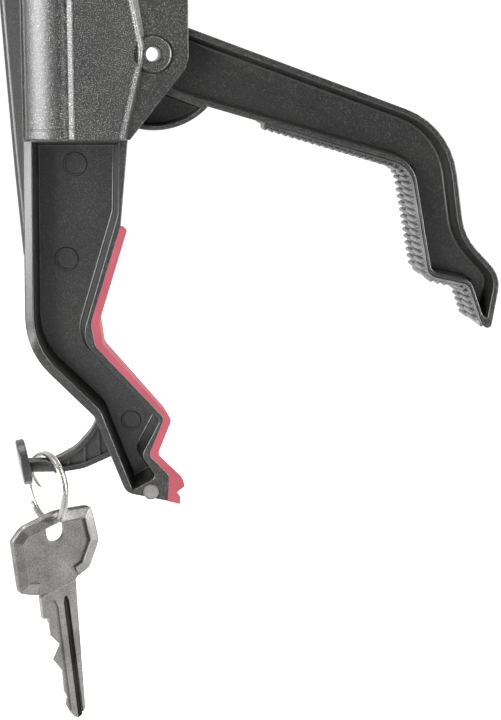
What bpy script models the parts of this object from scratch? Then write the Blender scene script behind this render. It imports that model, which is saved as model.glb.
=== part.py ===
"""Reacher grabber (pick-up tool) hanging by its handle's eye, jaws down, with a key on its hook.

All sizes here are millimetres; MM turns them into metres. World axes: +Z up, the tube runs
along Z, +X is the side of the trigger and of the moving jaw, -Y is the front. The origin is the
centre of the hanging eye. Head shapes are drawn about the jaw pivot, handle shapes about the
origin, key and ring about their own hinge points.
"""
import math

import bmesh
import bpy
from mathutils import Matrix, Vector

MM = 0.001
GAP = 0.3                       # clearance between touching pieces

# head
PIVOT_X = 27.0                  # jaw pivot, beside the tube's axis
PIVOT_Z = -472.0
TUBE_X = -PIVOT_X               # tube axis, seen from the pivot
JAW_Y = 12.0                    # half depth of both jaws
CHEEK_Y = 14.8                  # outer faces of the cheeks
HUMP_Y = 17.0                   # outer faces of the raised centre
COVER_Y = 12.3                  # inner faces of the cheeks
CLOSING = math.radians(46.0)    # travel of the moving jaw
LEVER = 11.0                    # jaw pivot to the clevis pin, square to the tube
LIFT = LEVER * math.tan(CLOSING / 2)
BARREL_R = 3.2                  # hollow pivot pin
# handle
TRIGGER_X = -18.0
TRIGGER_Z = -50.0
TRIGGER_HALF = math.atan(LIFT / -TRIGGER_X)
GRIP_Y = 13.0
PIN_R = 1.75
ROD_R = 2.0
FORK_IN = 2.8                   # inner faces of both forks
FORK_OUT = 5.1
WEB_Y = 2.5                     # half thickness of the levers in the forks
# tube and spring
SCREW_HEAD_R = 2.8
SCREW_HEAD_H = 1.8
SCREW_R = 1.35
SCREW_BORE = 1.7                # clearance bore for a screw
SCREW_SINK = 3.2                # counterbore for its head
FLANGE_R = 4.5                  # flanges of the jaw pivot's hollow pin
FLANGE_SINK = 5.3
TUBE_R = 8.0
TUBE_BORE = 7.0
TUBE_TOP = -112.0
TUBE_END = PIVOT_Z + 22.5
SPRING_TOP = -74.3
SPRING_LENGTH = 29.7
SPRING_R = 5.3
WIRE_R = 0.7
SPRING_TURNS = 7
# hook, ring and key
PEG = (-30.0, -4.0, -109.1)     # axis of the hook's peg, from the pivot
PEG_R = 2.0
RING_R = 9.35
RING_WIRE = 0.65                # half the ring wire's height
RING_X = -29.6
RING_TURN = math.radians(32)    # how far the ring is turned about Z
KEY_TURN = math.radians(28)
KEY_LEAN = math.radians(6)

MATERIALS = {
    "black_plastic": ((0.035, 0.036, 0.040, 1), 0.42, 0.0),
    "red_rubber": ((0.76, 0.12, 0.16, 1), 0.75, 0.0),
    "black_rubber": ((0.045, 0.046, 0.050, 1), 0.70, 0.0),
    "bright_steel": ((0.62, 0.61, 0.60, 1), 0.25, 1.0),
    "nickel": ((0.50, 0.48, 0.45, 1), 0.35, 1.0),
    "magnet_steel": ((0.42, 0.41, 0.39, 1), 0.40, 1.0),
    "aluminium": ((0.66, 0.67, 0.69, 1), 0.35, 1.0),
    "nylon": ((0.80, 0.79, 0.75, 1), 0.50, 0.0),
}


# ---------------------------------------------------------------- outlines
def corner_arc(before, corner, after, radius):
    """Points of the round at a corner."""
    ax, az = before[0] - corner[0], before[1] - corner[1]
    bx, bz = after[0] - corner[0], after[1] - corner[1]
    la, lb = math.hypot(ax, az), math.hypot(bx, bz)
    ax, az, bx, bz = ax / la, az / la, bx / lb, bz / lb
    half = math.acos(max(-1.0, min(1.0, ax * bx + az * bz))) / 2
    reach = radius / math.tan(half)
    mx, mz = ax + bx, az + bz
    size = math.hypot(mx, mz)
    depth = radius / math.sin(half)
    cx, cz = corner[0] + mx / size * depth, corner[1] + mz / size * depth
    start = math.atan2(corner[1] + az * reach - cz, corner[0] + ax * reach - cx)
    sweep = math.atan2(corner[1] + bz * reach - cz, corner[0] + bx * reach - cx) - start
    sweep = (sweep + math.pi) % (2 * math.pi) - math.pi
    steps = max(2, math.ceil(abs(sweep) / math.radians(20)))
    return [(cx + radius * math.cos(start + sweep * i / steps),
             cz + radius * math.sin(start + sweep * i / steps)) for i in range(steps + 1)]


def rounded(corners, closed=True):
    """Outline from corners (x, z) or (x, z, radius)."""
    points = []
    count = len(corners)
    for i, corner in enumerate(corners):
        if len(corner) == 2 or (not closed and i in (0, count - 1)):
            points.append(corner[:2])
        else:
            points += corner_arc(corners[i - 1], corner, corners[(i + 1) % count], corner[2])
    return points


def shifted(corners, distances, closed=True):
    """Corners moved to the left of the path by one distance per edge."""
    count = len(corners)
    edges = count if closed else count - 1
    if isinstance(distances, (int, float)):
        distances = [distances] * edges
    lines = []
    for i in range(edges):
        (x0, z0), (x1, z1) = corners[i][:2], corners[(i + 1) % count][:2]
        size = math.hypot(x1 - x0, z1 - z0)
        ux, uz = (x1 - x0) / size, (z1 - z0) / size
        lines.append((x0 - uz * distances[i], z0 + ux * distances[i],
                      x1 - uz * distances[i], z1 + ux * distances[i], ux, uz))
    moved = []
    for i, corner in enumerate(corners):
        if not closed and i in (0, count - 1):
            line = lines[0] if i == 0 else lines[-1]
            moved.append((line[0], line[1]) if i == 0 else (line[2], line[3]))
            continue
        px, pz, _, _, ux, uz = lines[i - 1]
        qx, qz, _, _, vx, vz = lines[i % edges]
        turn = ux * vz - uz * vx
        along = ((qx - px) * vz - (qz - pz) * vx) / turn
        point = (px + ux * along, pz + uz * along)
        if len(corner) == 3:
            side = (distances[i - 1] + distances[i % edges]) / 2 * math.copysign(1, turn)
            point += (max(0.2, corner[2] - side),)
        moved.append(point)
    return moved


def band(corners, inner, outer):
    """Closed outline between two parallels of an open path."""
    near = rounded(shifted(corners, inner, False), False)
    far = rounded(shifted(corners, outer, False), False)
    return near + far[::-1]


def turned_point(point, angle):
    """Point turned about Y by the right-hand rule."""
    c, s = math.cos(angle), math.sin(angle)
    return (point[0] * c + point[1] * s, -point[0] * s + point[1] * c) + tuple(point[2:])


def slot(radius_in, radius_out, half, angle):
    """Round-ended slot that points away from the origin at an angle above +X."""
    outline = []
    for centre, start in ((radius_out, -math.pi / 2), (radius_in, math.pi / 2)):
        outline += [(centre + half * math.cos(start + math.pi * i / 6),
                     half * math.sin(start + math.pi * i / 6)) for i in range(7)]
    return [turned_point(p, -angle) for p in outline]


# ---------------------------------------------------------------- solids
def material(name):
    if name in bpy.data.materials:
        return bpy.data.materials[name]
    colour, roughness, metallic = MATERIALS[name]
    made = bpy.data.materials.new(name)
    made.use_nodes = True
    made.diffuse_color = colour
    shader = made.node_tree.nodes["Principled BSDF"]
    shader.inputs["Base Color"].default_value = colour
    shader.inputs["Roughness"].default_value = roughness
    shader.inputs["Metallic"].default_value = metallic
    return made


def solid(name, bm):
    """Object from a closed bmesh, still in millimetres."""
    bmesh.ops.remove_doubles(bm, verts=bm.verts, dist=1e-4)
    bmesh.ops.recalc_face_normals(bm, faces=bm.faces)
    mesh = bpy.data.meshes.new(name)
    bm.to_mesh(mesh)
    bm.free()
    obj = bpy.data.objects.new(name, mesh)
    bpy.context.collection.objects.link(obj)
    return obj


def plate(outline, y0, y1):
    """Outline in X and Z, extruded along Y."""
    bm = bmesh.new()
    face = bm.faces.new([bm.verts.new((x, y0, z)) for x, z in outline])
    moved = bmesh.ops.extrude_face_region(bm, geom=[face])
    verts = [v for v in moved["geom"] if isinstance(v, bmesh.types.BMVert)]
    bmesh.ops.translate(bm, verts=verts, vec=(0, y1 - y0, 0))
    return solid("piece", bm)


def lathe(profile, axis="Z", centre=(0, 0, 0), steps=20):
    """Profile of (radius, height) turned about an axis; one that starts and ends at radius 0 is capped."""
    bm = bmesh.new()
    capped = profile[0][0] == 0
    rings = []
    for radius, height in profile[1:-1] if capped else profile:
        ring = []
        for i in range(steps):
            a = 2 * math.pi * i / steps
            u, v = radius * math.cos(a), radius * math.sin(a)
            x, y, z = {"X": (height, u, v), "Y": (v, height, u), "Z": (u, v, height)}[axis]
            ring.append(bm.verts.new((centre[0] + x, centre[1] + y, centre[2] + z)))
        rings.append(ring)
    if capped:
        bm.faces.new(rings[0])
        bm.faces.new(rings[-1])
    for low, high in zip(rings, rings[1:] if capped else rings[1:] + rings[:1]):
        for i in range(steps):
            j = (i + 1) % steps
            bm.faces.new((low[i], low[j], high[j], high[i]))
    return solid("piece", bm)


def rod(radius, low, high, axis="Z", centre=(0, 0, 0), steps=20):
    return lathe([(0, low), (radius, low), (radius, high), (0, high)], axis, centre, steps)


def block(x0, x1, y0, y1, z0, z1):
    return plate([(x0, z0), (x1, z0), (x1, z1), (x0, z1)], y0, y1)


def combine(target, tool, operation):
    """Boolean of two solids, kept in the first; the second is used up."""
    modifier = target.modifiers.new("shape", "BOOLEAN")
    modifier.operation = operation
    modifier.solver = "EXACT"
    modifier.object = tool
    bpy.context.view_layer.update()
    shaped = target.evaluated_get(bpy.context.evaluated_depsgraph_get())
    mesh = bpy.data.meshes.new_from_object(shaped)
    target.modifiers.clear()
    target.data = mesh
    bpy.data.objects.remove(tool)
    return target


def join(target, *tools):
    for tool in tools:
        combine(target, tool, "UNION")
    return target


def cut(target, *tools):
    for tool in tools:
        combine(target, tool, "DIFFERENCE")
    return target


def soften(obj, width, segments=2, angle=40):
    """Rounded edges, applied."""
    modifier = obj.modifiers.new("soften", "BEVEL")
    modifier.width = width
    modifier.segments = segments
    modifier.limit_method = "ANGLE"
    modifier.angle_limit = math.radians(angle)
    modifier.use_clamp_overlap = True
    bpy.context.view_layer.update()
    shaped = obj.evaluated_get(bpy.context.evaluated_depsgraph_get())
    mesh = bpy.data.meshes.new_from_object(shaped)
    obj.modifiers.clear()
    obj.data = mesh
    return obj


def finish(obj, name, material_name, parent=None):
    """Name, metres, material and shading of a finished node."""
    obj.name = name
    obj.data.name = name
    obj.data.transform(Matrix.Scale(MM, 4))
    obj.location *= MM
    obj.data.materials.clear()
    obj.data.materials.append(material(material_name))
    obj.data.shade_smooth()
    obj.data.set_sharp_from_angle(angle=math.radians(35))
    if parent:
        obj.parent = parent
    return obj


def empty(name, location, parent=None):
    obj = bpy.data.objects.new(name, None)
    bpy.context.collection.objects.link(obj)
    obj.location = [v * MM for v in location]
    obj.parent = parent
    return obj


def screw(length, centre, shank=SCREW_R):
    """Screw along Y with its head on the +Y side and a cross recess."""
    x, y, z = centre
    top = y + SCREW_HEAD_H
    piece = lathe([(0, -length), (shank * 0.5, -length), (shank, 1.5 - length), (shank, 0), (SCREW_HEAD_R, 0),
                   (SCREW_HEAD_R * 0.8, SCREW_HEAD_H), (0, SCREW_HEAD_H)], "Y", centre, 12)
    wide, thin, deep = SCREW_HEAD_R * 0.55, SCREW_HEAD_R * 0.16, y + SCREW_HEAD_H * 0.4
    cross = block(x - wide, x + wide, deep, top + 1, z - thin, z + thin)
    join(cross, block(x - thin, x + thin, deep, top + 1, z - wide, z + wide))
    return cut(piece, cross)


# ---------------------------------------------------------------- head
FIXED_JAW = [(-33.6, -19.0), (-34.3, -76.4, 12), (-16.6, -94.4, 3), (-8.4, -115.4, 3.5), (2.8, -117.9),
             (3.2, -110.7, 1), (-2.1, -105.1, 1.5), (2.0, -95.1, 1.5), (-15.9, -75.4, 4),
             (-16.9, -69.2, 6), (-8.9, -44.1, 3), (-6.7, -19.0)]
CHEEK = [(-33.5, -21.6), (-6.2, -21.6), (8.0, -3.8, 2.5), (8.9, -1.0, 2), (8.9, 16, 8), (-10.5, 44, 12),
         (-12.5, 62), (-33.5, 62)]
HUMP = [(-33.5, -21.6), (-8.6, -21.6), (-2.7, 0.5, 4), (-12.4, 46, 8), (-14, 60), (-33.5, 60)]
BAY = [(-31.4, -20.3), (12, -20.3), (12, 11.0), (-3.5, 11.0), (-6.0, 20.3), (-31.4, 20.3)]
MAGNET = (-1.8, -115.2)
MAGNET_R = 2.0
FLOOR_FRONT = -2.0              # floor of the fixed jaw's front channel
FLOOR_REAR = 1.0
HEAD_SCREWS = ((-11.6, 29.0), (-15.6, 53.0))
LOCK_SCREW_Z = 69.0


def fixed_jaw_pocket():
    """Channel outline: the jaw's outline less its walls, ending at the solid tip."""
    walls = [2.4, 2.4, 2.2, 3.6, 4.0, 1.9, 1.7, 1.9, 1.9, 1.9, 1.9, 2.9]
    return rounded(shifted(FIXED_JAW, walls))


def hook():
    """Dressing hook: a ribbed arm, a peg and a flat disc."""
    x, y, z = PEG
    top = [(-14.0, -92.0), (-17.6, -99.6, 5), (-22.0, -104.4, 5), (-26.4, -107.0)]
    bottom = [(-26.4, -111.0), (-18.6, -109.4, 6), (-11.0, -106.0)]
    arm = plate(rounded(top + bottom), y - 1.0, y + 1.0)
    for path, thick in ((top, 1.4), (bottom[::-1], -1.4)):
        join(arm, plate(band(path, 0, thick), y - 2.0, y + 2.0))
    join(arm, rod(PEG_R, -5.6, 5.6, "X", PEG, 16))
    disc = lathe([(0, -1.1), (5.6, -1.1), (6.2, -0.5), (6.2, 0.5), (5.6, 1.1), (0, 1.1)], "X", steps=28)
    disc.rotation_euler = (0, math.radians(-9), 0)
    disc.location = (x - 5.8, y, z + 0.9)
    return join(arm, disc)


def head_body(parent):
    body = plate(rounded(FIXED_JAW), -JAW_Y, JAW_Y)
    join(body, plate(rounded(CHEEK), -JAW_Y, CHEEK_Y))
    join(body, soften(plate(rounded(HUMP), CHEEK_Y - 1, HUMP_Y), 0.8, 2, 80))
    barrel = lathe([(0, -52), (7.2, -52), (11.5, 14), (11.8, 61.9), (12.8, 62.9), (12.8, 74.5), (12.0, 75.3),
                    (0, 75.3)], "Z", (TUBE_X, 0, 0), 32)
    join(body, barrel)
    pocket = fixed_jaw_pocket()
    cut(body, plate(pocket, -JAW_Y - 1, FLOOR_FRONT), plate(pocket, FLOOR_REAR, JAW_Y + 1))
    cut(body, plate(BAY, -JAW_Y - 1, COVER_Y))
    cut(body, rod(TUBE_R + GAP, 22.0, 80.0, "Z", (TUBE_X, 0, 0), 32))
    cut(body, rod(ROD_R + 0.6, 18.0, 23.0, "Z", (TUBE_X, 0, 0), 16))
    cut(body, rod(BARREL_R + GAP, -20.0, 20.0, "Y"), rod(FLANGE_SINK, CHEEK_Y, 20.0, "Y"))
    cut(body, rod(MAGNET_R + GAP, -JAW_Y - 1, JAW_Y - 1.5, "Y", (MAGNET[0], 0, MAGNET[1])))
    for x, z in HEAD_SCREWS:
        cut(body, rod(SCREW_SINK, -2.0, 20.0, "Y", (x, 0, z), 20))
        cut(body, rod(SCREW_BORE, -JAW_Y - 1, 0, "Y", (x, 0, z), 16))
    cut(body, rod(1.8, 0, 20.0, "Y", (TUBE_X, 0, LOCK_SCREW_Z), 16))
    join(body, hook())
    return finish(body, "head_body", "black_plastic", parent)


def head_cover(parent):
    cover = plate(rounded(CHEEK), -CHEEK_Y, -COVER_Y)
    join(cover, soften(plate(rounded(HUMP), -HUMP_Y, -CHEEK_Y + 1), 0.8, 2, 80))
    bulge = rod(5.9, -21.6, 60.0, "Z", (-27.55, -13.0, 0), 28)
    join(cover, cut(bulge, block(-40, -10, -COVER_Y - 0.5, 0, -30, 70)))
    cut(cover, rod(BARREL_R + GAP, -20.0, -10.0, "Y"), rod(FLANGE_SINK, -20.0, -CHEEK_Y, "Y"))
    for x, z in HEAD_SCREWS:
        cut(cover, rod(SCREW_BORE, -16.0, -10.0, "Y", (x, 0, z), 16))
    return finish(cover, "head_cover", "black_plastic", parent)


def pad_path():
    """Gripping edge of the fixed jaw, from its top to its tip."""
    return [(-8.9, -44.1), (-16.9, -69.2, 6), (-15.9, -75.4, 4), (2.0, -95.1, 1.5), (-2.1, -105.1, 1.5),
            (3.2, -110.7, 1), (2.9, -117.6)]


def fixed_jaw_pad(parent):
    inner = rounded(shifted(pad_path(), GAP, False), False)
    outer = [(-7.2, -44.5, 0.6), (-14.8, -69.0, 4), (-13.8, -75.4, 3), (3.9, -95.6, 1.5), (0.1, -104.9, 1.5),
             (7.1, -113.0, 0.8), (5.6, -115.3, 0.3), (6.0, -118.7)]
    strip = plate(inner + rounded(outer, False)[::-1], -JAW_Y, JAW_Y)
    return finish(strip, "fixed_jaw_pad", "red_rubber", parent)


ARM = [(-4.0, 11.45, 7), (77.5, -18.4, 14), (81.7, -47.4, 8), (91.8, -58.1, 5), (89.3, -73.0, 1.2),
       (85.6, -70.4, 1), (81.5, -59.6, 3), (71.0, -57.4, 3), (66.1, -28.5, 8), (10.5, -12.3, 2),
       (-4.0, -7.0, 3)]
ARM_FLOOR = -5.0
ARM_BACK = -1.5
SECTOR_R = 19.3
SECTOR_FROM = math.radians(-120)
SECTOR_TO = math.radians(-46)


def arc(radius, start, end, steps=10):
    """Points of an arc about the pivot."""
    angles = [start + (end - start) * i / steps for i in range(steps + 1)]
    return [(radius * math.cos(a), radius * math.sin(a)) for a in angles]


def moving_jaw(parent):
    jaw = plate(rounded(ARM), -JAW_Y, JAW_Y)
    join(jaw, plate([(0, 0)] + arc(SECTOR_R, SECTOR_FROM, SECTOR_TO), -JAW_Y, JAW_Y))
    walls = [-2.0, -2.0, -2.0, -2.0, -3.0, -1.6, -1.6, -1.6, -1.5, -1.5, -2.2]
    pocket = rounded(shifted(ARM, walls))
    hollow = [(-2.6, -7.5)] + arc(SECTOR_R - 1.5, math.radians(-115.2), math.radians(-49)) + [(10.5, -12.3)]
    for outline in (pocket, hollow):
        cut(jaw, plate(outline, -JAW_Y - 1, ARM_FLOOR), plate(outline, ARM_BACK, JAW_Y + 1))
    join(jaw, rod(6.0, -JAW_Y, JAW_Y, "Y", steps=24))
    direction = math.pi + CLOSING / 2
    join(jaw, plate(slot(0.0, LEVER + 1.0, 4.6, direction), -WEB_Y, WEB_Y))
    cut(jaw, plate(slot(LEVER - 0.5, LEVER / math.cos(CLOSING / 2) + 0.5, PIN_R + 0.4, direction), -5, 5))
    cut(jaw, rod(BARREL_R + GAP, -20.0, 20.0, "Y"))
    return finish(jaw, "moving_jaw", "black_plastic", parent)


def moving_jaw_pad(parent):
    path = [(28.6, -17.33), (66.1, -28.5, 8), (71.0, -57.4, 3), (81.5, -59.6, 3), (85.6, -70.4)]
    return finish(plate(band(path, -GAP, -1.3), -JAW_Y, JAW_Y), "moving_jaw_pad", "black_rubber", parent)


def jaw_pivot_pin(parent):
    """Hollow rivet: a see-through barrel between two flanges."""
    face = CHEEK_Y + GAP
    half = [(BARREL_R, face), (FLANGE_R, face), (FLANGE_R, face + 0.8), (FLANGE_R - 0.4, face + 1.2),
            (2.0, face + 1.2)]
    profile = [(radius, -y) for radius, y in half[::-1]] + half
    pin = lathe(profile, "Y", steps=24)
    return finish(pin, "jaw_pivot_pin", "black_plastic", parent)


def tip_magnet(parent):
    x, z = MAGNET
    profile = [(0, -11.7), (1.7, -11.7), (MAGNET_R, -11.4), (MAGNET_R, 9.9), (1.7, 10.2), (0, 10.2)]
    return finish(lathe(profile, "Y", (x, 0, z)), "tip_magnet", "magnet_steel", parent)


def head_screws(parent):
    for i, (x, z) in enumerate(HEAD_SCREWS, 1):
        finish(screw(13.2, (x, GAP - 2.0, z)), f"head_screw_{i}", "bright_steel", parent)


def tube_lock_screw(parent):
    piece = screw(6.6, (TUBE_X, 12.8 + GAP, LOCK_SCREW_Z), 1.45)
    return finish(piece, "tube_lock_screw", "bright_steel", parent)


# ---------------------------------------------------------------- ring and key
def ring_centre():
    """Centre of the ring, which hangs from the top of the peg; seen from the pivot."""
    return RING_X, PEG[1], PEG[2] + PEG_R + GAP + RING_WIRE - RING_R


def key_ring(parent):
    """Split ring, its two turns pressed together, turned partly edge on."""
    half, flat, rise = 1.3, 1.0, RING_WIRE
    section = [(RING_R - rise, -flat), (RING_R - rise, flat), (RING_R - 0.4, half), (RING_R + 0.4, half),
               (RING_R + rise, flat), (RING_R + rise, -flat), (RING_R + 0.4, -half), (RING_R - 0.4, -half)]
    ring = lathe(section, "X", steps=32)
    hinge = empty("ring_hinge", (RING_X, PEG[1], PEG[2] + PEG_R + GAP), parent)
    ring.location = (0, 0, RING_WIRE - RING_R)
    ring.rotation_euler = (0, 0, RING_TURN)
    return finish(ring, "key_ring", "nickel", hinge)


KEY_HEAD = [(-12.3, 0.6, 2), (-9.0, 3.6, 5), (0.5, 5.6, 10), (11.6, 4.6, 3), (12.9, -6.0, 6), (9.0, -13.0, 3),
            (4.3, -15.0, 1.5), (4.0, -20.5), (2.4, -53.2, 1.5), (0.4, -55.7, 1), (-2.0, -55.2, 1),
            (-4.6, -51.8, 1), (-4.4, -48.2), (-2.0, -45.2), (-3.6, -42.4), (-5.4, -39.6), (-2.6, -36.1),
            (-5.0, -32.0), (-5.0, -23.8), (-6.6, -23.6), (-6.6, -17.0, 1), (-12.2, -15.2, 3)]
KEY_THICK = 2.4
BLADE_THICK = 2.0
KEY_HOLE = 0.2                  # height of the hole's centre
KEY_HANG = (0.0, 2.05)          # where the ring's wire sits in the hole


def key(parent):
    """Flat cylinder-lock key: stepped head, hole, milled grooves and cut bitting."""
    blade = plate(rounded(KEY_HEAD), -BLADE_THICK / 2, BLADE_THICK / 2)
    head = [c for c in rounded(KEY_HEAD) if c[1] > -17.5]
    join(blade, plate(head, -KEY_THICK / 2, KEY_THICK / 2))
    panel = [(-10.6, -0.6, 1), (-7.8, 1.8, 2), (-3.6, 3.0), (-3.2, -4.5, 2), (3.2, -4.5, 2), (3.6, 3.4),
             (9.8, 3.0, 2), (10.8, -5.6, 4), (7.4, -11.0, 2), (-7.0, -13.0, 2), (-10.6, -12.6, 2)]
    for side in (-1, 1):
        y0, y1 = sorted((side * (KEY_THICK / 2 - 0.35), side * 3))
        cut(blade, plate(rounded(panel), y0, y1))
        y0, y1 = sorted((side * (BLADE_THICK / 2 - 0.5), side * 3))
        cut(blade, block(0.6, 2.0, y0, y1, -57, -21))
        cut(blade, block(-3.2, -1.9, y0, y1, -30, -18.6))
    cut(blade, plate([(x, z + KEY_HOLE) for x, z in slot(-0.7, 0.7, 2.6, math.pi / 2)], -3, 3))
    bmesh_shift(blade, (-KEY_HANG[0], 0, -KEY_HANG[1]))
    x, y, z = ring_centre()
    hinge = empty("key_hinge", (x, y, z - RING_R), parent)
    blade.rotation_euler = (0, -KEY_LEAN, KEY_TURN)
    return finish(blade, "key", "nickel", hinge)


def bmesh_shift(obj, offset):
    """Moves the mesh against its origin."""
    for vertex in obj.data.vertices:
        vertex.co += Vector(offset)


# ---------------------------------------------------------------- tube, rod and spring
def shaft_tube():
    low, high = TUBE_END, TUBE_TOP
    tube = lathe([(TUBE_BORE, low), (TUBE_R, low), (TUBE_R, high), (TUBE_BORE, high)], steps=36)
    cut(tube, rod(1.9, 0, 12, "Y", (0, 0, PIVOT_Z + LOCK_SCREW_Z), 16))
    return finish(tube, "shaft_tube", "aluminium")


def rod_guide(name, z):
    guide = lathe([(ROD_R + GAP, z), (TUBE_BORE - GAP, z), (TUBE_BORE - GAP, z + 2), (5.6, z + 3),
                   (5.6, z + 7), (TUBE_BORE - GAP, z + 8), (TUBE_BORE - GAP, z + 10), (ROD_R + GAP, z + 10)],
                  steps=24)
    return finish(guide, name, "nylon")


def fork(outline, gap, bore):
    """Two ears on a block: the ears straddle a lever across the gap, the block takes the rod's end."""
    x0, x1, z0, z1 = gap
    return cut(plate(rounded(outline), -FORK_OUT, FORK_OUT), block(x0, x1, -FORK_IN, FORK_IN, z0, z1), bore)


def rod_clevis(parent):
    """Offset link between the rod, on the tube's axis, and the jaw's lever."""
    outline = [(-31, 9, 1.5), (-7, 9, 1.5), (-7, -8.9, 3.5), (-15, -8.9, 3.5), (-15, 3, 1), (-31, 3, 1.5)]
    bore = rod(ROD_R + GAP, 4.0, 12.0, "Z", (TUBE_X, 0, 0), 16)
    piece = fork(outline, (-22, 0, -12, 12), bore)
    cut(piece, rod(PIN_R + GAP, -8, 8, "Y", (-LEVER, 0, -LIFT), 20))
    return finish(piece, "rod_clevis", "bright_steel", parent)


def headed_pin(name, centre, parent):
    """Cross pin with a thin head outside each ear."""
    y = FORK_OUT + GAP
    profile = [(0, -y - 0.9), (2.5, -y - 0.9), (2.5, -y), (PIN_R, -y), (PIN_R, y), (2.5, y),
               (2.5, y + 0.9), (0, y + 0.9)]
    return finish(lathe(profile, "Y", centre, 20), name, "bright_steel", parent)


def pull_rod():
    low, high = PIVOT_Z + 4.4, TRIGGER_Z - LIFT - 10.8
    piece = lathe([(0, low), (ROD_R, low), (ROD_R, high), (0, high)], steps=16)
    return finish(piece, "pull_rod", "bright_steel")


def rod_fork(parent):
    """Fork at the rod's upper end, about the trigger's slot."""
    z = -LIFT
    outline = [(-5.5, z + 5.5, 4), (5.5, z + 5.5, 4), (5.5, z - 15.5, 2), (-5.5, z - 15.5, 2)]
    bore = rod(ROD_R + GAP, z - 20, z - 10.4, "Z", (0, 0, 0), 16)
    piece = fork(outline, (-10, 10, z - 9.0, z + 10), bore)
    cut(piece, rod(PIN_R + GAP, -8, 8, "Y", (0, 0, z), 20))
    return finish(piece, "rod_fork", "bright_steel", parent)


def spring_collar():
    z = SPRING_TOP - SPRING_LENGTH - GAP
    profile = [(ROD_R + GAP, z), (6.3, z), (6.3, z - 2.0), (4.2, z - 2.6), (4.2, z - 4.5),
               (ROD_R + GAP, z - 4.5)]
    return finish(lathe(profile, steps=24), "spring_collar", "nylon")


def return_spring():
    """Compression spring about the rod, with closed end turns."""
    around, steps, sides = 12, SPRING_TURNS * 12, 5
    bm = bmesh.new()
    low = SPRING_TOP - SPRING_LENGTH + WIRE_R
    rise = SPRING_LENGTH - 2 * WIRE_R
    end = 1.6 * WIRE_R * 2 / rise
    rings = []
    for i in range(steps + 1):
        t = i / steps
        turn = 2 * math.pi * i / around
        height = low + rise * pitch(t, 1 / SPRING_TURNS, end)
        ring = []
        for k in range(sides):
            a = 2 * math.pi * k / sides
            radius = SPRING_R + WIRE_R * math.cos(a)
            ring.append(bm.verts.new((radius * math.cos(turn), radius * math.sin(turn),
                                      height + WIRE_R * math.sin(a))))
        rings.append(ring)
    for first, second in zip(rings, rings[1:]):
        for k in range(sides):
            m = (k + 1) % sides
            bm.faces.new((first[k], first[m], second[m], second[k]))
    bm.faces.new(rings[0])
    bm.faces.new(rings[-1][::-1])
    return finish(solid("return_spring", bm), "return_spring", "bright_steel")


def pitch(t, turn, end):
    """Height along the spring: slow over the first and last turn, even between them."""
    if t < turn:
        return end * t / turn
    if t > 1 - turn:
        return 1 - end * (1 - t) / turn
    return end + (1 - 2 * end) * (t - turn) / (1 - 2 * turn)


# ---------------------------------------------------------------- handle
HANDLE = [(-13, -116), (-28.5, -74, 16), (-29, -34, 20), (-12, 9, 12), (10, 9, 10), (22, 2, 20),
          (86, 20.5, 14), (104, 25, 7), (108, -6, 9), (98, -11.5, 12), (34, -27.5, 14), (19, -34, 6),
          (19, -74, 10), (13, -116)]
GRIP_POCKET = [(26, -1), (26, -20.5, 3), (97, -4.5, 5), (99.5, 15.5, 5), (86, 13.5, 8)]
MECHANISM = [(-25.4, -36, 8), (-25.4, -68, 6), (-16, -71), (15.6, -71), (15.6, -29), (0, -22, 6),
             (-14, -22, 6)]
HANDLE_SCREWS = ((-20.5, -84.0), (-14.5, -8.0), (20.0, -10.0), (103.0, 8.0))
EYE_R = 3.6
SHELL_SEAT_Y = 9.6             # seats of the screw heads in the rear shell
COLLAR_LOW = -147.0
COLLAR_HIGH = -128.5
COLLAR_R = 14.4


def handle_shell(side):
    """Half of the handle; side is -1 for the front shell and 1 for the rear one."""
    shell = soften(plate(rounded(HANDLE), -GRIP_Y, GRIP_Y), 3.2, 2, 60)
    neck = [(0, -149), (11.6, -149), (11.6, -128), (12.8, -126), (12.8, -110), (0, -110)]
    join(shell, lathe(neck, steps=32))
    cut(shell, plate(rounded(MECHANISM), *sorted((side * 10.4, -side))))
    cut(shell, plate(rounded(GRIP_POCKET), *sorted((side * 9.6, -side))))
    cut(shell, block(15.0, 30.0, -8.1, 8.1, -70, -29))
    cut(shell, rod(TUBE_R + GAP, -160, TUBE_TOP + GAP, steps=32), rod(7.2, -113, -74, steps=32))
    cut(shell, rod(ROD_R + 0.6, -75, -70, steps=16))
    cut(shell, rod(EYE_R + 1.5, -20, 20, "Y", steps=28))
    cut(shell, rod(2.8, -12.2, 12.2, "Y", (TRIGGER_X, 0, TRIGGER_Z), 20))
    for x, z in HANDLE_SCREWS:
        cut(shell, rod(SCREW_BORE, -9.0, 20.0, "Y", (x, 0, z), 16))
        cut(shell, rod(SCREW_SINK, SHELL_SEAT_Y, 20.0, "Y", (x, 0, z), 20))
    cut(shell, plate(grip_recess(), -GRIP_PAD_Y, GRIP_PAD_Y))
    far = -200 if side > 0 else 200
    cut(shell, block(-60, 140, *sorted((far, side * GAP / 2)), -170, 60))
    return finish(shell, "handle_rear" if side > 0 else "handle_front", "black_plastic")


GRIP_BACK = [(30, 4.3), (86, 20.5, 14), (98, 23.5)]
GRIP_PAD_Y = 9.3


def grip_recess():
    """Pocket for the palm pad, open outward."""
    return band(GRIP_BACK, 4.0, -2.2)


def grip_pad():
    """Soft palm pad let into the grip's back."""
    path = [(30.6, 4.47), (86, 20.5, 14), (97.4, 23.35)]
    pad_y = GRIP_PAD_Y - GAP
    return finish(plate(band(path, 0.4, GAP - 2.2), -pad_y, pad_y), "grip_pad", "black_rubber")


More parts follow.
